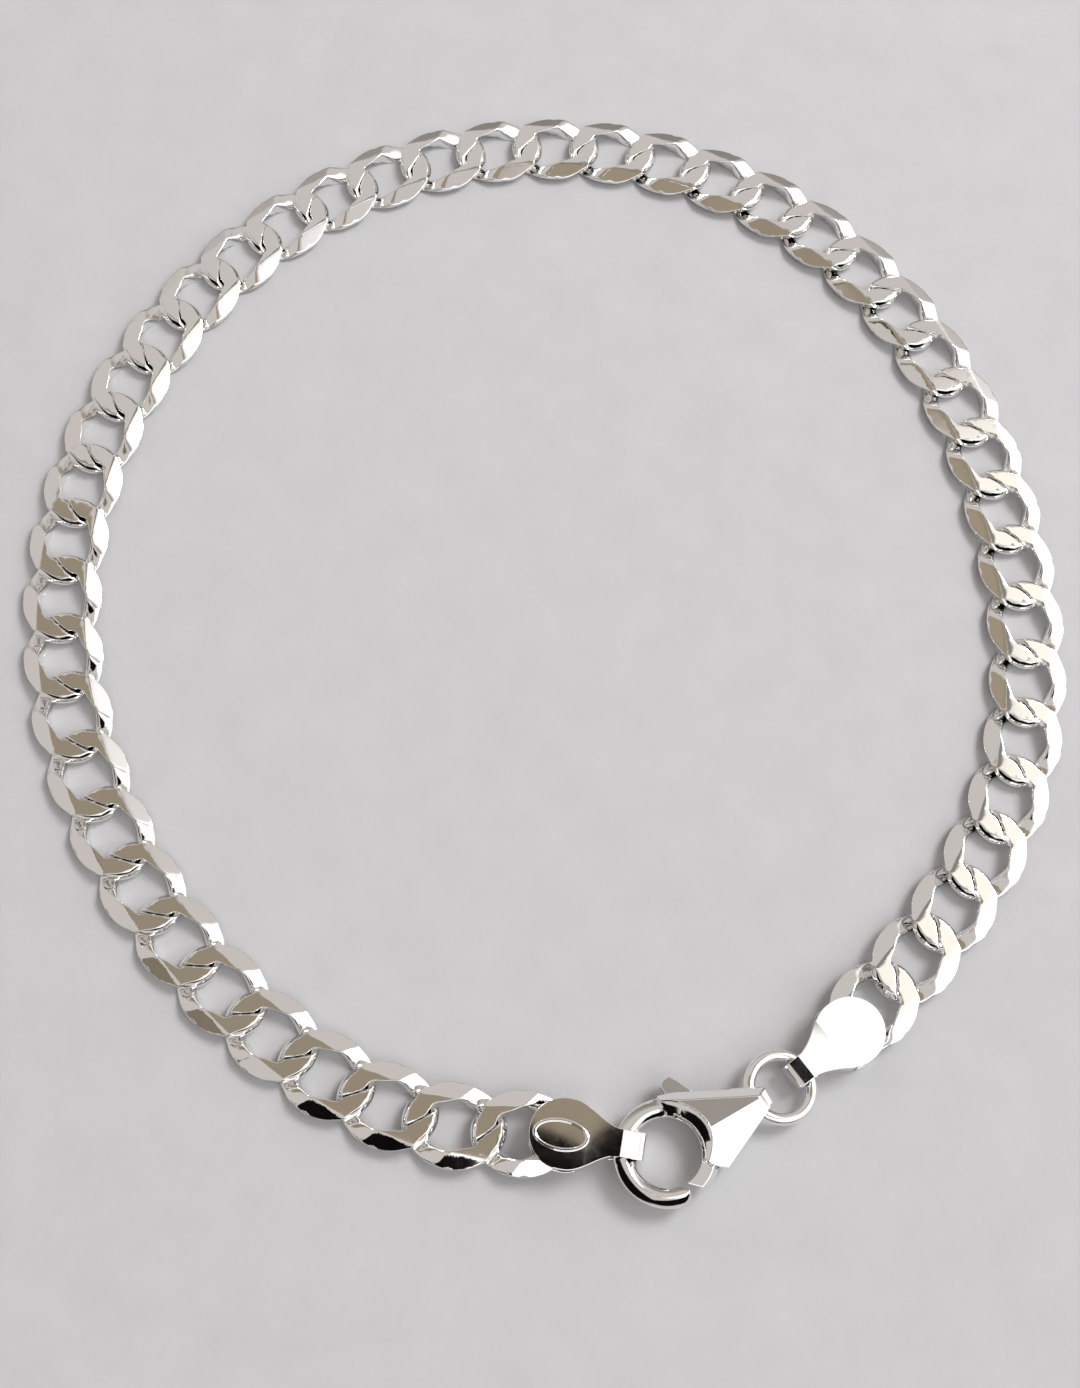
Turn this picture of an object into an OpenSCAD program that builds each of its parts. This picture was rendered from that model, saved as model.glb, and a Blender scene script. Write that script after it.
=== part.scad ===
// Flat curb link bracelet, closed in a loop and lying on a table, in millimetres.
// Forty-six interlocked links, two end tabs, a jump ring and a trigger clasp.
// X runs to the right and Y away from the viewer; Z = 0 is the table.

/* [Chain] */
// Distance from one link to the next along the chain
pitch = 3.9; // [3.86:0.02:3.94]
// Length of one link over its wire
link_len = 6; // [5.96:0.02:6.08]
// Width of one link over its wire, across the chain
link_w = 4.85; // [4.75:0.05:4.95]
// Width of the link wire seen from above
wire_w = 1; // [0.96:0.01:1.02]
// Depth of the link wire square to its run, before the faces are cut
wire_h = 1; // [0.96:0.01:1.04]
// Thickness of the chain between its two cut faces
chain_h = 0.95; // [0.91:0.01:0.99]
// Steepness of the curb twist in each link
twist = 0.6; // [0.57:0.01:0.62]
// Gap kept between neighbouring links
link_gap = 0.28; // [0.26:0.01:0.32]
// Half width of the flat middle band between the two side bevels
bevel_at = 1.45; // [1.4:0.01:1.5]
// Fall of the side bevels, in degrees
bevel_deg = 22; // [18:1:26]

/* [Clasp] */
// Radius of the round eye inside the hook
eye_r = 1.92; // [1.86:0.02:1.98]
// Width of the hook seen from above
hook_w = 1.08; // [1:0.02:1.14]
// Depth of the hook
hook_h = 1.5; // [1.4:0.05:1.6]
// Depth of the clasp body between its two flat tops
body_h = 2.1; // [2.05:0.05:2.2]
// Thickness of the lever plate
lever_t = 0.8; // [0.7:0.05:0.85]
// Diameter of the lever pin
pin_d = 0.8; // [0.7:0.05:0.9]

/* [Jump ring] */
// Outer diameter of the jump ring
ring_od = 4.3; // [4.2:0.05:4.4]
// Wire diameter of the jump ring
ring_wire = 0.7; // [0.65:0.05:0.75]

/* [End tabs] */
// Radius of the round end of a tab
tab_r = 1.95; // [1.85:0.05:2.05]
// Sheet thickness of a tab
tab_t = 0.35; // [0.3:0.05:0.35]
// Width of the neck and of the folded loop
neck_w = 1.5; // [1.4:0.05:1.6]

/* [Hidden] */
silver = [0.8, 0.8, 0.79];

// Links are counted clockwise from the one that holds the left tab.
n_links = 46;
// Chosen turns of the route: [joint, turn in degrees], joints between these are read in between.
turn_at = [[1, -8.3], [2, -11], [5, -5.8], [9, -6], [13, -7.1], [17, -6.4], [21, -7.2],
           [25, -8.1], [29, -8.5], [33, -6.9], [37, -4.3], [41, -8.8], [44, -5.5], [45, -1.7]];
start_heading = 183.1;
start_at = [-0.48, 10.53];
// The clasp's eye and the direction from the eye to the tail.
eye_at = [9.47, 10.3];
clasp_turn = 34.5;
// Middle of the whole piece, taken off every position so that it stands over the origin.
middle = [-0.107, 43.127];

// A free gap between pieces that are threaded through each other.
free = 0.12;

// The chain's route, stepped from link to link.
function heading(i) = i <= 1 ? start_heading : heading(i - 1) + lookup(i - 1, turn_at);
function ahead(a, d) = d * [cos(a), sin(a)];
headings = [for (i = [1:n_links]) heading(i)];
// Middle of each link, stepped from joint to joint.
function link_mid(i) = i <= 1
    ? start_at - ahead(headings[0], pitch / 2)
    : link_mid(i - 1) + ahead(headings[i - 2], pitch / 2) + ahead(headings[i - 1], pitch / 2);
mids = [for (i = [1:n_links]) link_mid(i)];
function turn_before(i) = i <= 1 ? 0 : lookup(i - 1, turn_at);
function turn_after(i) = i >= n_links ? 0 : lookup(i, turn_at);

// The last links at each end climb a little, because the tabs pass beneath them.
end_rise = tab_t + free;
rise_links = 6;
function from_end(i) = min(i - 1, n_links - i);
function rise(i) = end_rise * pow(max(0, 1 - from_end(i) / rise_links), 2);
// Height of a link's middle over the table, high enough that its lower end stays clear of it.
function lift(i) = max(rise(i), abs(climb(i)) * link_len / 2);
function climb(i) = (i * 2 > n_links ? 1 : -1)
    * 2 * end_rise * max(0, 1 - from_end(i) / rise_links) / rise_links / pitch;

// One link: an oval wire whose middle line is twisted, x along the chain and z up.
half_l = (link_len - wire_w) / 2;
half_w = (link_w - wire_w) / 2;
twist_at = 1.2;
// The twist levels off towards this height, so that the wire stays thick enough after the cut.
most_dive = 0.974;
inner_extra = 0.42;
// Where the wire's sections stand: close together at the two ends, where neighbours cross.
quarter = [7, 14, 24, 44];
station_at = concat([0], quarter, [90], [for (k = [3:-1:0]) 180 - quarter[k]], [180],
                    [for (q = quarter) 180 + q], [270], [for (k = [3:-1:0]) 360 - quarter[k]]);
stations = len(station_at);
function tanh_of(v) = (exp(2 * v) - 1) / (exp(2 * v) + 1);
function clamp(v) = max(-1, min(1, v));
function levelled(z) = z * pow(1 + pow(abs(z) / most_dive, 4), -0.25);
function wire_mid(t) = [
    half_l * cos(t),
    half_w * sin(t),
    levelled(-twist * half_l * cos(t) * tanh_of(half_w * sin(t) / twist_at))
];
function wire_step(t) = (wire_mid(t + 0.5) - wire_mid(t - 0.5));
// Corners of the wire's section: [across, up], both from -1 to 1.
section = [[1, -0.6], [1, 0.6], [0.75, 1], [-0.75, 1], [-1, 0.6], [-1, -0.6], [-0.75, -1], [0.75, -1]];
// The section is wider on the hole's side near the four tips, on the face that is cut flat.
function inner_half(t, up, z) =
    wire_w / 2 + inner_extra * pow(abs(sin(2 * t)), 1.2) * (1 + clamp(z / 0.35) * up) / 2;
function offset_at(t, u, m, d) =
    let (run = norm([d.x, d.y]),
         across = u.x > 0 ? u.x * wire_w / 2 : u.x * inner_half(t, u.y, m.z),
         deep = wire_h * sqrt(1 + pow(d.z / run, 2)))
    [across * d.y / run, -across * d.x / run, u.y * deep / 2];
// Neighbours part on a twisted face through the joint. At any place across the chain the face
// stands square to the line between the two middle lines there. Free distance of a point from it:
function parted(q, end, turn) =
    let (a = end * turn / 2,
         x = q.x - end * pitch / 2,
         along = cos(a) * x + sin(a) * q.y,
         across = cos(a) * q.y - sin(a) * x,
         guess = end * half_l * cos(asin(clamp(across / half_w))),
         there = asin(clamp((across + sin(a) * (guess - end * pitch / 2)) / cos(a) / half_w)),
         m = wire_mid(end > 0 ? there : 180 - there),
         run = cos(a) * (m.x - end * pitch / 2) + sin(a) * m.y)
    (run * along + m.z * q.z) / norm([run, m.z]) - link_gap / 2;
// Share of the way from a core point to a corner that keeps clear of that face.
function first_bad(m, o, end, turn, k) =
    k > 8 ? 9 : parted(m + k / 8 * o, end, turn) < 0 ? k : first_bad(m, o, end, turn, k + 1);
function kept(m, o, end, turn, low, high, steps) =
    steps == 0 ? low
    : let (half = (low + high) / 2)
      parted(m + half * o, end, turn) >= 0
        ? kept(m, o, end, turn, half, high, steps - 1)
        : kept(m, o, end, turn, low, half, steps - 1);
// Height of the cut faces over the chain's middle plane: flat, then falling at the side bevels.
function face_z(y) = chain_h / 2 - max(0, abs(y) - bevel_at) * tan(bevel_deg);
function cut_flat(q) = [q.x, q.y, max(-face_z(q.y), min(face_z(q.y), q.z))];
core = 0.1;
function link_point(t, u, turn_a, turn_b) =
    let (m = wire_mid(t),
         corner = cut_flat(m + offset_at(t, u, m, wire_step(t))),
         from = [m.x, m.y, max(core - chain_h / 2, min(chain_h / 2 - core, m.z))],
         o = corner - from,
         end = m.x > -0.001 ? 1 : -1,
         turn = end > 0 ? turn_b : turn_a,
         bad = first_bad(from, o, end, turn, 1))
    from + o * (bad > 8 ? 1 : kept(from, o, end, turn, (bad - 1) / 8, bad / 8, 10));
module link_wire(turn_a, turn_b) {
    n = len(section);
    points = [for (k = [0:stations - 1], u = section) link_point(station_at[k], u, turn_a, turn_b)];
    faces = [for (k = [0:stations - 1], j = [0:n - 1], half = [0, 1])
        let (k2 = (k + 1) % stations,
             j2 = (j + 1) % n)
        half == 0 ? [k * n + j, k2 * n + j, k2 * n + j2] : [k * n + j, k2 * n + j2, k * n + j2]];
    polyhedron(points, faces);
}
module link(i) {
    translate([mids[i - 1].x, mids[i - 1].y, lift(i) + chain_h / 2])
        rotate([0, -atan(climb(i)), headings[i - 1]])
            link_wire(turn_before(i), turn_after(i));
}
module in_place() {
    translate([-middle.x, -middle.y, 0]) children();
}
module chain_a() {
    color(silver) in_place() for (i = [1:n_links / 2]) link(i);
}
module chain_b() {
    color(silver) in_place() for (i = [n_links / 2 + 1:n_links]) link(i);
}

// The clasp: x from the eye to the tail, z from its middle plane.
clasp_z = tab_t + hook_h / 2 + free;
hook_r = eye_r + hook_w;
tail_x = 5.7;
tail_wall = 0.38;
tail_end = tail_x + ring_wire / 2 + free + tail_wall;
pivot = [3.1, -0.8];
gate_r = 1.6;
// Where the hook's round tip begins, as an angle about the eye.
tip_at = -102.5;
slot_h = lever_t + 0.2;
// The pin is let in from below and ends under the upper slope, which is whole.
pin_top = slot_h / 2 + 0.08;
pin_foot = 0.25 - body_h / 2;
module at_clasp() {
    in_place() translate([eye_at.x, eye_at.y, clasp_z]) rotate([0, 0, clasp_turn]) children();
}
function around(c, r, a0, a1, n) = [for (k = [0:n]) c + r * [cos(a0 + (a1 - a0) * k / n), sin(a0 + (a1 - a0) * k / n)]];
// Seen from above: the round end is open towards the eye, the tail is narrow.
module body_outline() {
    polygon(concat(
        [[1, 2.92], [0.9, 1.2], [1.5, -1.05]],
        around(pivot, gate_r, 198, 240, 6),
        [[2.5, -2.38], [tail_end - 0.75, -0.9], [tail_end, -0.5], [tail_end, 0.5], [tail_end - 0.4, 0.66], [2.07, 2.66]]));
}
// Cut faces of the body: a roof falling to the near side and a steep bevel on the far side.
module near_roof() {
    fall = 0.24;
    rotate([90, 0, 90])
        linear_extrude(height = 20, center = true)
            polygon([[-4, body_h / 2 - 4 * fall], [0, body_h / 2], [4, body_h / 2],
                     [4, -body_h / 2], [0, -body_h / 2], [-4, 4 * fall - body_h / 2]]);
}
module far_bevel() {
    rotate([0, 0, -26.1])
        rotate([90, 0, 90])
            linear_extrude(height = 20, center = true)
                polygon([[-6, body_h / 2], [2.75, body_h / 2], [3.35, body_h / 2 - 0.65],
                         [3.35, 0.65 - body_h / 2], [2.75, -body_h / 2], [-6, -body_h / 2]]);
}
module tail_bevel() {
    rotate([90, 0, 0])
        linear_extrude(height = 20, center = true)
            polygon([[-4, body_h / 2], [tail_end - 0.6, body_h / 2], [tail_end, body_h / 2 - 0.5],
                     [tail_end, 0.5 - body_h / 2], [tail_end - 0.6, -body_h / 2], [-4, -body_h / 2]]);
}
// The cone that opens from the eye to the body's flat top.
module eye_cone() {
    low = 0.42;
    grow = 0.8;
    translate([0, 0, low]) cylinder(h = body_h / 2 - low, r1 = eye_r, r2 = eye_r + grow, $fn = 48);
    translate([0, 0, body_h / 2 - 0.001]) cylinder(h = 1, r = eye_r + grow, $fn = 48);
}
module lever_slot() {
    translate([0, 0, -slot_h / 2])
        linear_extrude(height = slot_h)
            polygon([[1.35, 4], [1.35, -1.6], [1.9, -2.2], [2.6, -1.75], [3.5, -1.75], [4.1, -1.1], [4.8, 0.4], [4.8, 4]]);
}
module hook() {
    ridge = eye_r + 0.42 * hook_w;
    difference() {
        rotate_extrude(angle = 226, start = 58, $fn = 64)
            polygon([[eye_r, -hook_h * 0.27], [ridge, -hook_h / 2], [hook_r, -hook_h * 0.17],
                     [hook_r, hook_h * 0.17], [ridge, hook_h / 2], [eye_r, hook_h * 0.27]]);
        translate([0, 0, -2])
            linear_extrude(height = 4)
                difference() {
                    polygon([[0, 0], 4 * ahead(tip_at, 1), [3, -4], [3, 0]]);
                    translate((eye_r + hook_w / 2) * ahead(tip_at, 1)) circle(d = hook_w, $fn = 32);
                }
    }
}
module clasp_body() {
    color(silver) at_clasp() {
        difference() {
            union() {
                intersection() {
                    translate([0, 0, -body_h / 2]) linear_extrude(height = body_h) body_outline();
                    near_roof();
                    far_bevel();
                    tail_bevel();
                }
                hook();
            }
            cylinder(h = 6, r = eye_r, center = true, $fn = 64);
            eye_cone();
            mirror([0, 0, 1]) eye_cone();
            lever_slot();
            ring_in_clasp() ring_tube(ring_wire + 2 * free);
            translate([pivot.x, pivot.y, -3]) cylinder(h = 3 + pin_top + 0.05, d = pin_d + 0.1, $fn = 32);
        }
    }
}
module clasp_lever() {
    gate_h = hook_h - 0.1;
    color(silver) at_clasp()
        difference() {
            union() {
                translate([0, 0, -lever_t / 2])
                    linear_extrude(height = lever_t)
                        polygon(concat(
                            [[1.2, -1.7], [2.25, -0.8], [2.16, 0.4], [1.75, 1.45], [1.55, 2.3], [1.5, 3.3],
                             [1.75, 3.52], [2.2, 3.55], [2.5, 3.1], [2.9, 2.3], [3.1, 1.5], [3.5, 0.4]],
                            around(pivot, 0.8, 20, -130, 8),
                            [[1.95, -1.95]]));
                intersection() {
                    rotate_extrude(angle = 60, start = 268, $fn = 64)
                        polygon([[eye_r + 0.03, -gate_h / 2], [hook_r - 0.35, -gate_h / 2], [hook_r - 0.05, -gate_h / 4],
                                 [hook_r - 0.05, gate_h / 4], [hook_r - 0.35, gate_h / 2], [eye_r + 0.03, gate_h / 2]]);
                    translate([0, 0, -2])
                        linear_extrude(height = 4)
                            polygon(concat([[0.02, -1.9], [0.9, -2.72], [1.4, -3.2]], around(pivot, gate_r + 0.12, 248, 190, 8), [[0.4, -1]]));
                }
            }
            translate([pivot.x, pivot.y, 0]) cylinder(h = 6, d = pin_d + 0.2, center = true, $fn = 32);
        }
}
module lever_pin() {
    color(silver) at_clasp()
        translate([pivot.x, pivot.y, pin_foot]) cylinder(h = pin_top - pin_foot, d = pin_d, $fn = 32);
}

// The jump ring, which joins the clasp's tail to the right tab.
ring_r = (ring_od - ring_wire) / 2;
loop2_h = ring_wire + 2.4 * free;
strap2_z = tab_t + loop2_h / 2;
ring_at = eye_at + ahead(clasp_turn, tail_x + ring_r);
// The ring leans: it is held higher by the clasp's tail than by the right tab.
module ring_in_clasp() {
    translate([tail_x + ring_r, 0, (strap2_z - clasp_z) / 2])
        rotate([0, atan((clasp_z - strap2_z) / (2 * ring_r)), 0])
            children();
}
module ring_tube(d) {
    rotate_extrude($fn = 96) translate([ring_r, 0]) circle(d = d, $fn = 36);
}
module jump_ring() {
    color(silver) at_clasp() ring_in_clasp() ring_tube(ring_wire);
}

// The end tabs: x from the round end to the folded loop, z = 0 is the table.
hold = 2.2;
deck_z = end_rise + chain_h + 0.24;
post_r = 0.55;
post_at = 0.75;
left_at = mids[0] - ahead(headings[0], hold);
right_at = mids[n_links - 1] + ahead(headings[n_links - 1], hold);
module tab_outline(crease_x, end_x) {
    n = 12;
    half = [for (k = [0:n]) let (s = k / n) [0.25 + s * (crease_x - 0.25), neck_w / 2 + (tab_r - neck_w / 2) * (1 + cos(180 * s)) / 2]];
    back = [for (k = [n:-1:0]) [half[k].x, -half[k].y]];
    polygon(concat(around([0, 0], tab_r, 270, 90, 20), half, [[end_x, neck_w / 2], [end_x, -neck_w / 2]], back));
}
// A band of sheet folded round a wire that bends about the point at reach, with its inner side at
// inner_r from there. The last link's end lies between the two leaves, and a post goes through it
// on the link's own axis, which is turned by link_turn from the tab's.
module tab(reach, inner_r, wire, loop_h, link_turn) {
    in0 = reach - inner_r - wire - free;
    in1 = reach - sqrt(pow(inner_r, 2) - pow(neck_w / 2, 2)) + free;
    end_x = in1 + tab_t;
    top = loop_h + 2 * tab_t;
    deck = deck_z + tab_t;
    r = 0.3;
    pocket = link_len / 2 - hold + 0.2;
    crease_x = in0 + 0.5;
    intersection() {
        union() {
            difference() {
                rotate([90, 0, 0])
                    linear_extrude(height = 6, center = true)
                        difference() {
                            polygon([[-tab_r - 1, 0], [end_x - r, 0], [end_x - 0.09, 0.09], [end_x, r],
                                     [end_x, top - r], [end_x - 0.09, top - 0.09], [end_x - r, top],
                                     [crease_x, top], [pocket + 0.3, deck], [-tab_r - 1, deck]]);
                            polygon([[-tab_r - 2, tab_t], [pocket, tab_t], [pocket, deck_z], [-tab_r - 2, deck_z]]);
                            polygon([[in0, tab_t], [in1, tab_t], [in1, tab_t + loop_h], [in0, tab_t + loop_h]]);
                        }
            }
            rotate([0, 0, link_turn])
                translate([post_at - hold, 0, tab_t / 2]) cylinder(h = deck_z, r = post_r, $fn = 32);
        }
        translate([0, 0, -1]) linear_extrude(height = 6) tab_outline(crease_x, end_x + 1);
    }
}
function aim(at, target) = atan2(target.y - at.y, target.x - at.x);
module place_tab(at, target) {
    in_place() translate([at.x, at.y, 0]) rotate([0, 0, aim(at, target)]) children();
}
module oval(a, b) {
    polygon([for (k = [0:35]) [a * cos(k * 10), b * sin(k * 10)]]);
}
module tab_left() {
    reach = norm(eye_at - left_at);
    rim = 0.14;
    color(silver) place_tab(left_at, eye_at) {
        tab(reach, eye_r, hook_w, hook_h + 2 * free, headings[0] - 180 - aim(left_at, eye_at));
        translate([-0.15, -0.1, deck_z + tab_t - 0.02])
            linear_extrude(height = 0.1)
                difference() {
                    oval(1.55, 0.86);
                    oval(1.55 - rim, 0.86 - rim);
                }
    }
}
module tab_right() {
    reach = norm(ring_at - right_at);
    color(silver) place_tab(right_at, ring_at)
        tab(reach, ring_r - ring_wire / 2, ring_wire, loop2_h, headings[n_links - 1] - aim(right_at, ring_at));
}

chain_a();
chain_b();
tab_left();
tab_right();
jump_ring();
clasp_body();
clasp_lever();
lever_pin();
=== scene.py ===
import math

import bmesh
import bpy
import numpy as np
from bpy.props import FloatProperty, FloatVectorProperty, IntProperty, PointerProperty
from mathutils import Matrix, Vector


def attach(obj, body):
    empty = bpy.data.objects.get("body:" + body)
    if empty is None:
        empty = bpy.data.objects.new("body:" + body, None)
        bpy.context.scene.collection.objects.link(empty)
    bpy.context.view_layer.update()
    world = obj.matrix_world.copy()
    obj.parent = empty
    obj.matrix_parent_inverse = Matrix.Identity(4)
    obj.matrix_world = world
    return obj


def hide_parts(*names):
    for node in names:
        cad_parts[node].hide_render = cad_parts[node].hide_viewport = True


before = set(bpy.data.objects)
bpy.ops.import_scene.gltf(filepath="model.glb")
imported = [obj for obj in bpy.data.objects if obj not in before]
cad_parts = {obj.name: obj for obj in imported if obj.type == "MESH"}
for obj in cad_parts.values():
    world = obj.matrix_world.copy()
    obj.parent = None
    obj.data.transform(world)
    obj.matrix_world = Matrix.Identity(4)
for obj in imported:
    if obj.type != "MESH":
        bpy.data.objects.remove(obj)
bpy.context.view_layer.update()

bl_info = {
    "name": "Curb link bracelet",
    "version": (1, 0, 0),
    "blender": (4, 5, 0),
    "location": "3D View > Sidebar > Bracelet",
    "description": "Dresses the packed link bracelet in polished silver and sets its studio",
    "category": "Object",
}

MM = 0.001

# The chain's route, the same few chosen values as in the part's source, in millimetres and degrees: the
# turn at some of the joints between links, the first link's heading, the joint that it starts from and
# the middle of the whole loop.
N_LINKS = 46
TURN_AT = ((1, -8.3), (2, -11), (5, -5.8), (9, -6), (13, -7.1), (17, -6.4), (21, -7.2),
           (25, -8.1), (29, -8.5), (33, -6.9), (37, -4.3), (41, -8.8), (44, -5.5), (45, -1.7))
START_HEADING = 183.1
START_AT = (-0.48, 10.53)
MIDDLE = (-0.107, 43.127)

# This many links at each end climb over the tab's lower leaf, by its sheet and the free gap over it.
RISE_LINKS = 6
TAB_SHEET, FREE = 0.35, 0.12

# The chain's pieces: name, first and last link, and the CAD node that holds them.
CHAIN_PIECES = (("chain_links_1", 1, 12, "chain_a"), ("chain_links_2", 13, 23, "chain_a"),
                ("chain_links_3", 24, 35, "chain_b"), ("chain_links_4", 36, 46, "chain_b"))

# A link's fine form, with lengths in millimetres. The curb twist sets in over TWIST_AT from the link's
# long axis and its height levels off towards DIVE. SQUARE is the power of the wire's squarish section.
TWIST_AT = 1.2
DIVE = 0.974
SQUARE = 5
# Towards the hole the wire is wider, most between the sides and the tips and also at the tips. All of it
# is on the face that is cut flat, once the wire's middle lies LEAN_AT above or below the link's middle.
INNER_EXTRA, INNER_POWER = 0.55, 1.2
TIP_EXTRA = 0.45
LEAN_AT = 0.35
# The round ends of a link reach END_SPAN degrees from its long axis and fade over END_FADE more. There the
# wire is deeper by this share, so it fills the whole thickness, and its nose falls back by NOSE at the
# cut faces.
END_SPAN, END_FADE = 20, 22
END_DEEPER = 0.9
NOSE, NOSE_POWER, NOSE_SHARE = 0.32, 1.5, 0.8
# How round the edges are, as shares of the rim: between the cut faces, and at the parting face.
CUT_RIM, PARTING_RIM = 0.3, 0.8

# Stations along a quarter of a link: this many from the tip to QUARTER_SPLIT degrees, and then to the side.
QUARTER_SPLIT, QUARTER_TIP, QUARTER_SIDE = 62, 27, 8
# The skin is found on each ray by steps and then halvings: the first look at many rays settles where the
# columns gather, and the final one places them.
FIRST_RAYS = 180
FIRST_LOOK, FINAL_LOOK = (6, 4), (8, 6)
# How much more closely columns lie where the section bends, and the passes that spread this evenly, by
# axis: 1 is round the section and 0 is along the wire.
BEND_WEIGHT = 1.3
SPREAD_AXES = (1, 0, 1, 0, 1, 0, 0, 0)

# The hard pieces: CAD node, the body that it rides on, and the width of its polished edges in millimetres.
HARD_PIECES = (("clasp_body", "bracelet", 0.05), ("clasp_lever", "lever", 0.05),
               ("lever_pin", "bracelet", 0.03), ("tab_left", "bracelet", 0.04), ("tab_right", "bracelet", 0.04))
# In a hard piece's copy, points nearer than MERGE metres are one, faces within COPLANAR degrees are one,
# edges of more than EDGE_FROM degrees are rounded in EDGE_STEPS steps, and a face larger than FLAT_AREA
# square metres is a cut flat and is shaded as a true plane.
MERGE, COPLANAR = 1e-6, 0.5
EDGE_FROM, EDGE_STEPS = 14, 2
FLAT_AREA = 3e-7

# The camera stands over the near side: its place in metres, its height angle and its roll in degrees.
CAMERA_AT = (0.000107, -0.043127, 0.10259)
CAMERA_ELEVATION = 70.1667
CAMERA_ROLL = 5.56
CAMERA_LENS, CAMERA_SENSOR = 46.17, 36.0
CAMERA_NEAR, CAMERA_FAR = 0.005, 10.0
# The lamp's compass angle and height in degrees, its distance and width in metres, and its power.
LAMP_COMPASS, LAMP_HEIGHT, LAMP_AWAY, LAMP_SIZE, LAMP_WATTS = 35, 50, 0.6, 0.25, 2.0
# Half the floor's width in metres.
FLOOR_HALF = 1.5

# The room round the table, as the silver shows it: plain walls, and on them soft-edged oval patches, the
# later ones over the earlier: lamps with white cloth, warm and grey cards, and black cards for the dark
# edges. Each has its compass angle and its height in degrees (compass 0 is the right, 90 the far side),
# its half width and half height in degrees, the share by which its edge is soft, its colour and strength.
ROOM_WALLS = "#CDC7C4"
WHITE, CREAM, WARM, GREY, SLATE, BLACK = "#FFFFFF", "#FFFBF0", "#998D7B", "#8C8782", "#585560", "#0E0C0C"
ROOM_PATCHES = (
    (90, 2, 60, 13, 0.5, GREY, 1.0),
    (148, 57.5, 7.5, 6.5, 0.15, WARM, 1.15),
    (285, 52, 20, 20, 0.1, WHITE, 1.3),
    (320, 45, 27, 27, 0.12, WHITE, 1.4),
    (355, 38, 27, 30, 0.12, WHITE, 1.5),
    (25, 38, 24, 32, 0.25, WHITE, 1.3),
    (46, 60, 11, 11, 0.2, CREAM, 1.1),
    (275, 39.5, 11, 4.5, 0.2, SLATE, 1.0),
    (208, 44.5, 7, 5.2, 0.2, WARM, 0.7),
    (242, 48.5, 12.5, 7, 0.1, BLACK, 1.0),
    (225, 17, 40, 11, 0.12, BLACK, 1.0),
    (290, 17, 34, 9, 0.12, BLACK, 1.0),
    (138, 78, 13, 13, 0.08, WARM, 1.0),
    (138, 67, 9, 9, 0.08, WARM, 1.0),
    (240, 84, 10, 10, 0.2, WARM, 1.1),
    (180, 75, 8, 6, 0.2, WARM, 1.0),
    (70, 68, 7.2, 7.2, 0.08, GREY, 1.0),
    (60, 79, 3.6, 3.2, 0.1, GREY, 1.3),
    (48, 74.8, 3.4, 2.2, 0.1, WHITE, 1.3),
    (43, 77.2, 1.5, 0.75, 0.1, BLACK, 1.0),
    (225, 85, 1.4, 1.1, 0.15, WHITE, 1.2),
    (68, 85, 3, 1.35, 0.08, BLACK, 1.0),
    (162, 67.6, 1.9, 1.5, 0.1, BLACK, 1.0),
    (54.5, 82.9, 0.7, 1.0, 0.15, WHITE, 1.2),
)
# Behind the middle of the room a patch's frame counts this small a depth as far away, so that the patch
# shows on one side alone. Its other two axes have no limit.
PATCH_DEPTH, NO_LIMIT = 0.05, 1e6


def linear(hex_colour):
    """An sRGB colour such as #D9D6CF as linear red, green, blue and alpha."""
    parts = [int(hex_colour[i:i + 2], 16) / 255 for i in (1, 3, 5)]
    return [p / 12.92 if p <= 0.04045 else ((p + 0.055) / 1.055) ** 2.4 for p in parts] + [1.0]


# Sizes and looks


class ChainSizes(bpy.types.PropertyGroup):
    """Sizes of the chain's links."""
    pitch: FloatProperty(name="Pitch", description="Distance from one link to the next",
                         default=0.0039, unit="LENGTH", precision=5)
    length: FloatProperty(name="Link length", description="Length of a link over its wire",
                          default=0.006, unit="LENGTH", precision=5)
    width: FloatProperty(name="Link width", description="Width of a link over its wire",
                         default=0.00485, unit="LENGTH", precision=5)
    wire: FloatProperty(name="Wire width", description="Width of the wire seen from above",
                        default=0.001, unit="LENGTH", precision=5)
    thick: FloatProperty(name="Thickness", description="Thickness between the two cut faces",
                         default=0.00095, unit="LENGTH", precision=5)
    twist: FloatProperty(name="Twist", description="Steepness of the curb twist", default=0.6)
    gap: FloatProperty(name="Gap", description="Gap between neighbouring links",
                       default=0.00012, unit="LENGTH", precision=5)
    bevel_at: FloatProperty(name="Bevel start", description="Half width of the flat middle band",
                            default=0.00145, unit="LENGTH", precision=5)
    bevel_fall: FloatProperty(name="Bevel fall", description="Fall of the side bevels",
                              default=math.radians(22), subtype="ANGLE")
    rim: FloatProperty(name="Rim", description="Radius of the rounded rims of the cut faces",
                       default=0.00005, unit="LENGTH", precision=5)
    columns: IntProperty(name="Columns", description="Points round the wire", default=56)


class SilverLook(bpy.types.PropertyGroup):
    """Colour and finish of the silver."""
    colour: FloatVectorProperty(name="Silver", description="Colour of polished sterling silver",
                                default=linear("#F4F3F1"), size=4, min=0, max=1, subtype="COLOR")
    rough: FloatProperty(name="Roughness", description="Roughness of the polished faces", default=0.035)
    scratches: FloatProperty(name="Scratches", description="Fine scratches in each millimetre", default=1.5)


class StudioLook(bpy.types.PropertyGroup):
    """Colour and grain of the floor."""
    paper: FloatVectorProperty(name="Floor", description="Colour of the pale floor",
                               default=linear("#BFBFC1"), size=4, min=0, max=1, subtype="COLOR")
    clouds: FloatProperty(name="Clouds", description="Faint clouds in each millimetre", default=0.26)
    fibres: FloatProperty(name="Fibres", description="Fibres in each millimetre", default=2.2)


# Meshes and nodes


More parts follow.
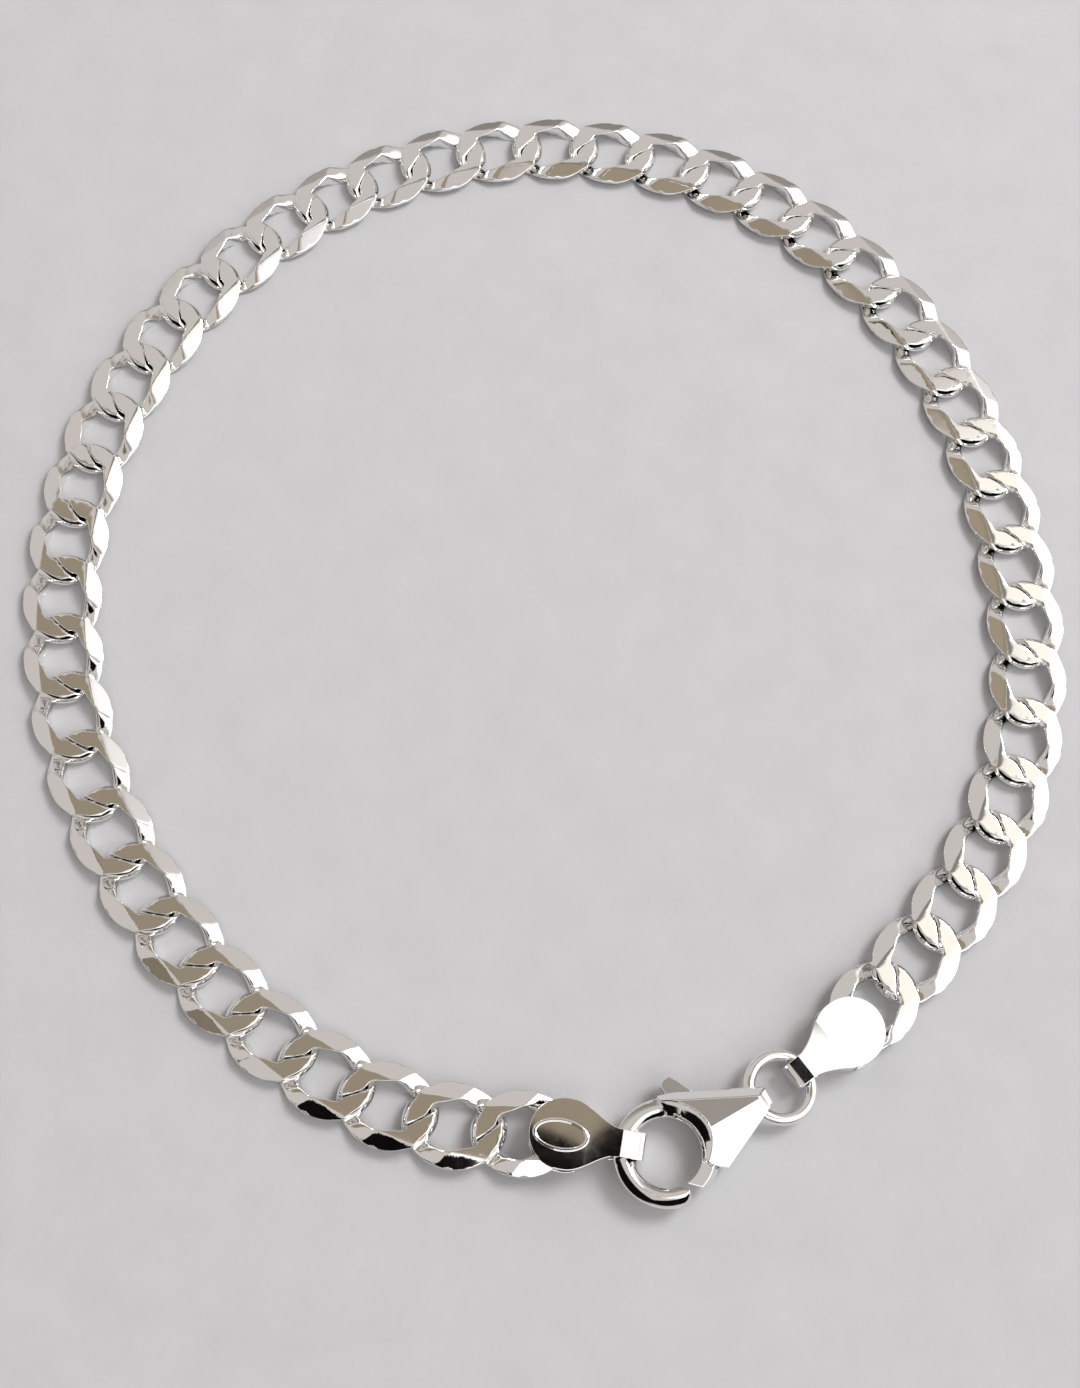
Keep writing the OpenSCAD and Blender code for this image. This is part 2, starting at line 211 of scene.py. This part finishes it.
def mesh_object(name, points, faces, material, body="bracelet"):
    """A mesh from points in millimetres, at the origin, riding on a body of the frame."""
    mesh = bpy.data.meshes.new(name)
    mesh.from_pydata((np.asarray(points) * MM).tolist(), [], np.asarray(faces).tolist())
    mesh.shade_smooth()
    mesh.materials.append(material)
    obj = bpy.data.objects.new(name, mesh)
    bpy.context.scene.collection.objects.link(obj)
    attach(obj, body)
    return obj


def ring_faces(rows, columns):
    """Quads of a grid that closes both ways, facing outwards for rows that run anticlockwise."""
    i, j = np.meshgrid(np.arange(rows), np.arange(columns), indexing="ij")
    i2, j2 = (i + 1) % rows, (j + 1) % columns
    quads = np.stack([i * columns + j, i2 * columns + j, i2 * columns + j2, i * columns + j2], -1)
    return quads.reshape(-1, 4)


def add_node(tree, kind, inputs=(), **settings):
    """Adds a node, sets its settings, and sets or links its inputs, given as (socket, value or socket)."""
    node = tree.nodes.new(kind)
    for key, value in settings.items():
        setattr(node, key, value)
    for socket, value in dict(inputs).items():
        if isinstance(value, bpy.types.NodeSocket):
            tree.links.new(value, node.inputs[socket])
        else:
            node.inputs[socket].default_value = value
    return node


def new_material(name):
    """An empty material and its node tree, with the node that gives the place on the object."""
    material = bpy.data.materials.new(name)
    material.use_nodes = True
    tree = material.node_tree
    tree.nodes.clear()
    return material, tree, add_node(tree, "ShaderNodeTexCoord")


# Materials


def polished_silver(name):
    """Sterling silver, cut with a diamond or buffed: mirror faces that show the room in clean planes.
    Fine scratches vary the gloss a little, so that the edges of what it mirrors aren't dead sharp."""
    silver = bpy.context.scene.bracelet_silver
    material, tree, place = new_material(name)
    scratches = add_node(tree, "ShaderNodeTexNoise", {
        "Vector": place.outputs["Object"], "Scale": silver.scratches / MM, "Detail": 3.0, "Roughness": 0.6})
    gloss = add_node(tree, "ShaderNodeMapRange", {
        "Value": scratches.outputs["Fac"], "From Min": 0.3, "From Max": 0.7,
        "To Min": silver.rough * 0.7, "To Max": silver.rough * 1.4})
    bump = add_node(tree, "ShaderNodeBump", {
        "Height": scratches.outputs["Fac"], "Strength": 0.008, "Distance": 0.02 * MM})
    shader = add_node(tree, "ShaderNodeBsdfPrincipled", {
        "Base Color": silver.colour, "Metallic": 1.0, "Roughness": gloss.outputs["Result"],
        "Normal": bump.outputs["Normal"]})
    add_node(tree, "ShaderNodeOutputMaterial", {"Surface": shader.outputs["BSDF"]})
    return material


def matt_paper(name):
    """Pressed paper: faint clouds in its tone and a fine grain of fibres, so that the floor isn't blank."""
    studio = bpy.context.scene.bracelet_studio
    material, tree, place = new_material(name)
    clouds = add_node(tree, "ShaderNodeTexNoise", {
        "Vector": place.outputs["Object"], "Scale": studio.clouds / MM, "Detail": 5.0, "Roughness": 0.65})
    shade = add_node(tree, "ShaderNodeMapRange", {
        "Value": clouds.outputs["Fac"], "From Min": 0.3, "From Max": 0.7, "To Min": 0.965, "To Max": 1.035})
    tone = add_node(tree, "ShaderNodeVectorMath", {
        0: studio.paper[:3], "Scale": shade.outputs["Result"]}, operation="SCALE")
    fibres = add_node(tree, "ShaderNodeTexNoise", {
        "Vector": place.outputs["Object"], "Scale": studio.fibres / MM, "Detail": 3.0})
    grain = add_node(tree, "ShaderNodeBump", {
        "Height": fibres.outputs["Fac"], "Strength": 0.25, "Distance": 0.06 * MM})
    shader = add_node(tree, "ShaderNodeBsdfPrincipled", {
        "Base Color": tone.outputs["Vector"], "Roughness": 0.9, "Normal": grain.outputs["Normal"]})
    add_node(tree, "ShaderNodeOutputMaterial", {"Surface": shader.outputs["BSDF"]})
    return material


# The chain's route


def ahead(degrees, distance):
    """A step of this distance in a heading, counted anticlockwise from the right."""
    return distance * np.array([math.cos(math.radians(degrees)), math.sin(math.radians(degrees))])


def turn_at(joint):
    """Turn of the chain at a joint, read in between the chosen ones; none beyond the ends."""
    if joint < 1 or joint >= N_LINKS:
        return 0.0
    return float(np.interp(joint, *zip(*TURN_AT)))


def route(pitch):
    """Heading in degrees and middle of every link, stepped from joint to joint."""
    headings = START_HEADING + np.concatenate([[0], np.cumsum([turn_at(j) for j in range(1, N_LINKS)])])
    mids = [np.array(START_AT) - ahead(headings[0], pitch / 2)]
    for a, b in zip(headings, headings[1:]):
        mids.append(mids[-1] + ahead(a, pitch / 2) + ahead(b, pitch / 2))
    return headings, np.array(mids) - np.array(MIDDLE)


def climb_and_lift(i, pitch, length):
    """Slope and height of a link, counted from 1: those near the ends climb a little over the tabs."""
    end_rise = TAB_SHEET + FREE
    left = max(0.0, 1 - min(i - 1, N_LINKS - i) / RISE_LINKS)
    climb = (1 if i * 2 > N_LINKS else -1) * 2 * end_rise * left / RISE_LINKS / pitch
    return climb, max(end_rise * left ** 2, abs(climb) * length / 2)


# One link


def smooth_step(x):
    """Goes smoothly from 0 to 1 as x does."""
    x = np.clip(x, 0, 1)
    return x * x * (3 - 2 * x)


def soft_limit(z):
    """Height that follows z near 0 and levels off towards DIVE."""
    return z * (1 + (z / DIVE) ** 4) ** -0.25


def round_min(a, b, r):
    """The smaller of two depths, with a fillet of radius r where both are small."""
    least = np.minimum(a, b)
    return np.where(least >= r, least, r - np.hypot(np.maximum(r - a, 0), np.maximum(r - b, 0)))


class Link:
    """One link as a surface: an oval wire with a curb twist, cut flat, parted from its neighbours.

    The wire's middle runs round an ellipse. Its height there is the twist times x times the hyperbolic
    tangent of y over TWIST_AT, levelled off. Round it the section is a squarish oval. A point's depth
    inside the link is the least of its depths under that oval skin, under the flat and slanting cut
    faces, behind the nose, and behind the twisted face half-way to the next link, with every meeting
    rounded. Rays go out from the middle of each section, and the surface lies where the depth is 0."""

    def __init__(self, chain):
        for key in ("pitch", "length", "width", "wire", "thick", "gap", "bevel_at", "rim"):
            setattr(self, key, getattr(chain, key) / MM)
        self.twist, self.fall = chain.twist, chain.bevel_fall
        self.columns = chain.columns
        self.a, self.b = (self.length - self.wire) / 2, (self.width - self.wire) / 2
        self.t = self.stations()
        x, y = self.a * np.cos(self.t), self.b * np.sin(self.t)
        bend = np.tanh(y / TWIST_AT)
        steep = -self.twist * x * bend
        dx, dy = -self.a * np.sin(self.t), self.b * np.cos(self.t)
        dz = -self.twist * (dx * bend + x * (1 - bend ** 2) * dy / TWIST_AT)
        dz = dz * (1 + (steep / DIVE) ** 4) ** -1.25
        run = np.hypot(dx, dy)
        self.mid = np.stack([x, y, soft_limit(steep)], -1)[:, None, :]
        self.out = np.stack([dy / run, -dx / run], -1)[:, None, :]
        self.lean = np.clip(self.mid[..., 2] / LEAN_AT, -1, 1)
        deep = (self.wire * np.sqrt(1 + (dz / run) ** 2) / 2)[:, None]
        top = self.face_z(self.mid[..., 1])
        high, low = np.minimum(self.mid[..., 2] + deep, top), np.maximum(self.mid[..., 2] - deep, -top)
        self.core_z = (high + low) / 2
        aside = np.degrees(np.arctan2(np.abs(y), np.abs(x)))[:, None]
        self.ends = smooth_step((END_SPAN + END_FADE - aside) / END_FADE)
        self.extra = INNER_EXTRA * np.abs(np.sin(2 * self.t))[:, None] ** INNER_POWER + TIP_EXTRA * self.ends
        self.deep = deep * (1 + END_DEEPER * self.ends)

    def stations(self):
        """Angles round the link, alike in its four quarters."""
        tip = np.linspace(0, QUARTER_SPLIT, QUARTER_TIP)
        quarter = np.concatenate([tip, np.linspace(QUARTER_SPLIT, 90, QUARTER_SIDE)[1:]])
        half = np.concatenate([quarter, 180 - quarter[-2::-1]])
        return np.radians(np.concatenate([half, 180 + half[1:-1]]))

    def face_z(self, y):
        """Height of the cut faces: flat, then falling at the side bevels."""
        return self.thick / 2 - np.maximum(0, np.abs(y) - self.bevel_at) * math.tan(self.fall)

    def inner(self, v):
        """Half width of the wire towards the hole, wider near the tips on the face that is cut flat."""
        return self.wire / 2 + self.extra * (1 + self.lean * np.clip(v, -1, 1)) / 2

    def place(self, s):
        """Where a point at s outwards from the wire's middle lies in the link's own x and y."""
        return self.mid[..., 0] + s * self.out[..., 0], self.mid[..., 1] + s * self.out[..., 1]

    def parted(self, x, y, z, end, turn):
        """Free distance from the twisted face midway between this link and the next one."""
        a = end * turn / 2
        ca, sa = np.cos(a), np.sin(a)
        x = x - end * self.pitch / 2
        along, across = ca * x + sa * y, ca * y - sa * x
        guess = end * self.a * np.sqrt(1 - np.clip(across / self.b, -1, 1) ** 2)
        sine = np.clip((across + sa * (guess - end * self.pitch / 2)) / ca / self.b, -1, 1)
        mx, my = end * self.a * np.sqrt(1 - sine ** 2), self.b * sine
        mz = soft_limit(-self.twist * mx * np.tanh(my / TWIST_AT))
        run = ca * (mx - end * self.pitch / 2) + sa * my
        return (run * along + mz * z) / np.hypot(run, mz) - self.gap / 2

    def depth(self, s, z, end, turn):
        """Depth inside the link of a point at s outwards and z up in each section; below 0 outside."""
        x, y = self.place(s)
        v = (z - self.mid[..., 2]) / self.deep
        u = np.where(s > 0, s / (self.wire / 2), -s / self.inner(v))
        tube = (1 - (np.abs(u) ** SQUARE + np.abs(v) ** SQUARE) ** (1 / SQUARE)) * self.wire / 2
        flat = self.thick / 2 - np.abs(z)
        slant = self.face_z(np.maximum(np.abs(y), self.bevel_at))
        slant = slant + np.maximum(0, self.bevel_at - np.abs(y)) * math.tan(self.fall)
        slope = (slant - np.abs(z)) * math.cos(self.fall)
        back = NOSE * self.ends * (np.abs(z) / (self.thick / 2)) ** NOSE_POWER
        nose = (self.wire / 2 - s - back) * NOSE_SHARE
        cut = round_min(round_min(flat, slope, self.rim * CUT_RIM), nose, self.rim * CUT_RIM)
        whole = round_min(cut, tube, self.rim)
        return round_min(whole, self.parted(x, y, z, end, turn), self.rim * PARTING_RIM)

    def rays(self, phi):
        """Ends of rays from the wire's core to its uncut skin, brought down to the cut faces."""
        c, s = np.cos(phi), np.sin(phi)
        size = (np.abs(c) ** SQUARE + np.abs(s) ** SQUARE) ** (-1 / SQUARE)
        u, v = c * size, s * size
        across = np.where(u > 0, u * self.wire / 2, u * self.inner(v))
        z = self.mid[..., 2] + v * self.deep
        face = self.face_z(self.place(across)[1])
        return across, np.clip(z, -face, face)

    def skin(self, phi, end, turn, steps, halvings):
        """Section points (s, z) where each ray first leaves the link."""
        across, z = self.rays(phi)
        rise = z - self.core_z

        def inside(share):
            return self.depth(share * across, self.core_z + share * rise, end, turn)

        low = np.zeros_like(across)
        alive = np.ones_like(across, bool)
        for k in range(1, steps + 1):
            alive &= inside(np.full_like(across, k / steps)) > 0
            low = np.where(alive, k / steps, low)
        high = low + 1 / steps
        for _ in range(halvings):
            half = (low + high) / 2
            good = inside(half) > 0
            low, high = np.where(good, half, low), np.where(good, high, half)
        d0, d1 = inside(low), inside(high)
        share = low + (high - low) * np.clip(d0 / np.maximum(d0 - d1, 1e-9), 0, 1)
        return share * across, self.core_z + share * rise

    def surface(self, turn_a, turn_b):
        """Points of the link, stations by columns. The columns gather where the section bends."""
        end = np.where(self.mid[..., 0] > -1e-3, 1.0, -1.0)
        turn = np.where(end > 0, math.radians(turn_b), math.radians(turn_a))
        first = np.linspace(0, 2 * math.pi, FIRST_RAYS, endpoint=False)[None, :]
        phi = np.repeat(first, len(self.t), 0)
        phi = self.gather(phi, *self.skin(phi, end, turn, *FIRST_LOOK))
        s, z = self.skin(phi, end, turn, *FINAL_LOOK)
        return np.stack([*self.place(s), z], -1)

    def gather(self, phi, s, z):
        """New ray angles, spaced evenly in length plus bend along each section."""
        count = phi.shape[1]
        ring = np.concatenate([s, s[:, :1]], 1), np.concatenate([z, z[:, :1]], 1)
        along = np.concatenate([np.zeros((len(s), 1)), np.cumsum(np.hypot(*np.diff(ring)), 1)], 1)
        even = np.linspace(0, 1, count, endpoint=False)
        angle = np.linspace(0, 2 * math.pi, count + 1)
        s, z = [np.stack([np.interp(even * a[-1], a, row) for a, row in zip(along, part)]) for part in ring]
        angle = np.stack([np.interp(even * a[-1], a, angle) for a in along])
        heading = np.arctan2(np.roll(z, -1, 1) - z, np.roll(s, -1, 1) - s)
        bend = np.abs((heading - np.roll(heading, 1, 1) + math.pi) % (2 * math.pi) - math.pi)
        for axis in SPREAD_AXES:
            bend = (bend + (np.roll(bend, 1, axis) + np.roll(bend, -1, axis)) / 2) / 2
        weight = 1 / count + BEND_WEIGHT * bend / (2 * math.pi)
        total = np.concatenate([np.zeros((len(s), 1)), np.cumsum(weight, 1)], 1)
        angle = np.concatenate([angle, np.full((len(s), 1), 2 * math.pi)], 1)
        wanted = np.arange(self.columns) / self.columns
        return np.stack([np.interp(wanted * w[-1], w, row) for w, row in zip(total, angle)])


# Hard pieces


def softened_copy(name, node, material, width, body="bracelet"):
    """A merged copy of a CAD node whose edges are rounded a little, as polishing leaves them."""
    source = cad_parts[node]
    mesh = source.data.copy()
    mesh.name = name
    work = bmesh.new()
    work.from_mesh(mesh)
    bmesh.ops.remove_doubles(work, verts=work.verts, dist=MERGE)
    bmesh.ops.dissolve_limit(work, angle_limit=math.radians(COPLANAR), verts=work.verts, edges=work.edges)
    for face in work.faces:
        face.smooth = face.calc_area() < FLAT_AREA
    work.to_mesh(mesh)
    work.free()
    mesh.materials.clear()
    mesh.materials.append(material)
    obj = bpy.data.objects.new(name, mesh)
    bpy.context.scene.collection.objects.link(obj)
    bevel = obj.modifiers.new("polished edges", "BEVEL")
    bevel.width, bevel.segments, bevel.limit_method = width, EDGE_STEPS, "ANGLE"
    bevel.angle_limit = math.radians(EDGE_FROM)
    bevel.use_clamp_overlap = False
    flats = obj.modifiers.new("true flats", "WEIGHTED_NORMAL")
    flats.weight, flats.keep_sharp = 100, True
    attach(obj, body)
    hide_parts(node)
    return obj


# Stage


def compass_direction(compass, height):
    """The direction at a compass angle and a height, in degrees."""
    a, e = math.radians(compass), math.radians(height)
    return Vector((math.cos(a) * math.cos(e), math.sin(a) * math.cos(e), math.sin(e)))


def make_camera():
    """The camera, as the photograph was taken: over the near side and rolled a little."""
    data = bpy.data.cameras.new("camera")
    data.lens, data.sensor_width, data.sensor_height = CAMERA_LENS, CAMERA_SENSOR, CAMERA_SENSOR
    data.sensor_fit = "AUTO"
    data.clip_start, data.clip_end = CAMERA_NEAR, CAMERA_FAR
    camera = bpy.data.objects.new("camera", data)
    bpy.context.scene.collection.objects.link(camera)
    e, r = math.radians(CAMERA_ELEVATION), math.radians(CAMERA_ROLL)
    c, s = math.cos(r), math.sin(r)
    right = Vector((c, s * math.sin(e), s * math.cos(e)))
    up = Vector((-s, c * math.sin(e), c * math.cos(e)))
    turn = Matrix((right, up, right.cross(up))).transposed()
    camera.matrix_world = Matrix.Translation(CAMERA_AT) @ turn.to_4x4()
    bpy.context.scene.camera = camera


def make_floor():
    """One wide sheet of paper under the bracelet."""
    mesh = bpy.data.meshes.new("floor")
    n = FLOOR_HALF
    mesh.from_pydata([(-n, -n, 0), (n, -n, 0), (n, n, 0), (-n, n, 0)], [], [(0, 1, 2, 3)])
    mesh.materials.append(matt_paper("paper_matt"))
    floor = bpy.data.objects.new("floor", mesh)
    bpy.context.scene.collection.objects.link(floor)


def patch_frame(compass, height):
    """The turn whose third axis looks at the patch, with the first one level."""
    towards = compass_direction(compass, height)
    a = math.radians(compass)
    across = Vector((-math.sin(a), math.cos(a), 0))
    return Matrix((across, towards.cross(across), towards)).transposed().to_euler()


def make_room():
    """World light: a direction is inside a patch where its place in the patch's frame, divided by
    the half sizes, is shorter than 1."""
    world = bpy.data.worlds.new("room")
    bpy.context.scene.world = world
    world.use_nodes = True
    tree = world.node_tree
    tree.nodes.clear()
    place = add_node(tree, "ShaderNodeTexCoord")
    walls = add_node(tree, "ShaderNodeRGB")
    walls.outputs[0].default_value = linear(ROOM_WALLS)
    colour = walls.outputs[0]
    for compass, height, half_width, half_height, soft, tint, strength in ROOM_PATCHES:
        size = (math.sin(math.radians(half_width)), math.sin(math.radians(half_height)), PATCH_DEPTH)
        local = add_node(tree, "ShaderNodeMapping", {
            "Vector": place.outputs["Generated"], "Rotation": patch_frame(compass, height), "Scale": size},
            vector_type="TEXTURE")
        front = add_node(tree, "ShaderNodeVectorMath", {
            0: local.outputs["Vector"], 1: (NO_LIMIT, NO_LIMIT, 0.0)}, operation="MINIMUM")
        far = add_node(tree, "ShaderNodeVectorMath", {0: front.outputs["Vector"]}, operation="LENGTH")
        part = add_node(tree, "ShaderNodeMapRange", {
            "Value": far.outputs["Value"], "From Min": 1 + soft, "From Max": 1 - soft},
            interpolation_type="SMOOTHSTEP")
        mix = add_node(tree, "ShaderNodeMix", {"Factor": part.outputs["Result"]}, data_type="RGBA")
        tree.links.new(colour, mix.inputs["A"])
        mix.inputs["B"].default_value = [v * strength for v in linear(tint)[:3]] + [1]
        colour = mix.outputs["Result"]
    back = add_node(tree, "ShaderNodeBackground", {"Color": colour, "Strength": 1.0})
    add_node(tree, "ShaderNodeOutputWorld", {"Surface": back.outputs["Background"]})


def make_lamp():
    """The main light: one soft round lamp over the far right, whose shadows fall to the near left."""
    data = bpy.data.lights.new("soft_lamp", "AREA")
    data.shape, data.size, data.energy = "DISK", LAMP_SIZE, LAMP_WATTS
    lamp = bpy.data.objects.new("soft_lamp", data)
    bpy.context.scene.collection.objects.link(lamp)
    towards = compass_direction(LAMP_COMPASS, LAMP_HEIGHT)
    turn = towards.to_track_quat("Z", "Y").to_matrix().to_4x4()
    lamp.matrix_world = Matrix.Translation(towards * LAMP_AWAY) @ turn


# Operators and panel


class BRACELET_OT_stage(bpy.types.Operator):
    """Makes the floor, the lights and the camera"""
    bl_idname = "bracelet.stage"
    bl_label = "Stage"

    def execute(self, context):
        context.scene.view_settings.view_transform = "Standard"
        make_camera()
        make_floor()
        make_room()
        make_lamp()
        return {"FINISHED"}


class BRACELET_OT_chain(bpy.types.Operator):
    """Makes the forty-six links from the chain's sizes"""
    bl_idname = "bracelet.chain"
    bl_label = "Links"

    def execute(self, context):
        link = Link(context.scene.bracelet_chain)
        material = polished_silver("silver_diamond_cut")
        headings, mids = route(link.pitch)
        faces = ring_faces(len(link.t), link.columns)
        count = len(link.t) * link.columns
        for name, first, last, node in CHAIN_PIECES:
            points = []
            for i in range(first, last + 1):
                climb, lift = climb_and_lift(i, link.pitch, link.length)
                grid = link.surface(turn_at(i - 1), turn_at(i)).reshape(-1, 3)
                turn = Matrix.Rotation(math.radians(headings[i - 1]), 3, "Z")
                turn = turn @ Matrix.Rotation(-math.atan(climb), 3, "Y")
                at = np.array([*mids[i - 1], lift + link.thick / 2])
                points.append(grid @ np.array(turn).T + at)
            all_faces = np.concatenate([faces + k * count for k in range(len(points))])
            obj = mesh_object(name, np.concatenate(points), all_faces, material)
            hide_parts(node)
        return {"FINISHED"}


class BRACELET_OT_clasp(bpy.types.Operator):
    """Makes the clasp, its lever and pin, the jump ring and the two tabs"""
    bl_idname = "bracelet.clasp"
    bl_label = "Clasp"

    def execute(self, context):
        material = polished_silver("silver_buffed")
        for node, body, width in HARD_PIECES:
            softened_copy(node + "_polished", node, material, width * MM, body)
        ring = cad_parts["jump_ring"]
        ring.data.materials.clear()
        ring.data.materials.append(material)
        ring.data.shade_smooth()
        return {"FINISHED"}


class BRACELET_PT_panel(bpy.types.Panel):
    """Shows every size and look, and a button for each operator"""
    bl_label = "Link bracelet"
    bl_space_type = "VIEW_3D"
    bl_region_type = "UI"
    bl_category = "Bracelet"

    def draw(self, context):
        for name, group in GROUPS.items():
            for key in group.__annotations__:
                self.layout.prop(getattr(context.scene, name), key)
        for operator in OPERATORS:
            self.layout.operator(operator.bl_idname)


GROUPS = {"bracelet_chain": ChainSizes, "bracelet_silver": SilverLook, "bracelet_studio": StudioLook}
OPERATORS = (BRACELET_OT_stage, BRACELET_OT_chain, BRACELET_OT_clasp)


def register():
    for name, group in GROUPS.items():
        bpy.utils.register_class(group)
        setattr(bpy.types.Scene, name, PointerProperty(type=group))
    for cls in OPERATORS + (BRACELET_PT_panel,):
        bpy.utils.register_class(cls)


def unregister():
    for cls in OPERATORS + (BRACELET_PT_panel,):
        bpy.utils.unregister_class(cls)
    for name, group in GROUPS.items():
        delattr(bpy.types.Scene, name)
        bpy.utils.unregister_class(group)


def main():
    """Makes the stage and every piece."""
    register()
    bpy.ops.bracelet.stage()
    bpy.ops.bracelet.chain()
    bpy.ops.bracelet.clasp()


if __name__ == "__main__":
    main()
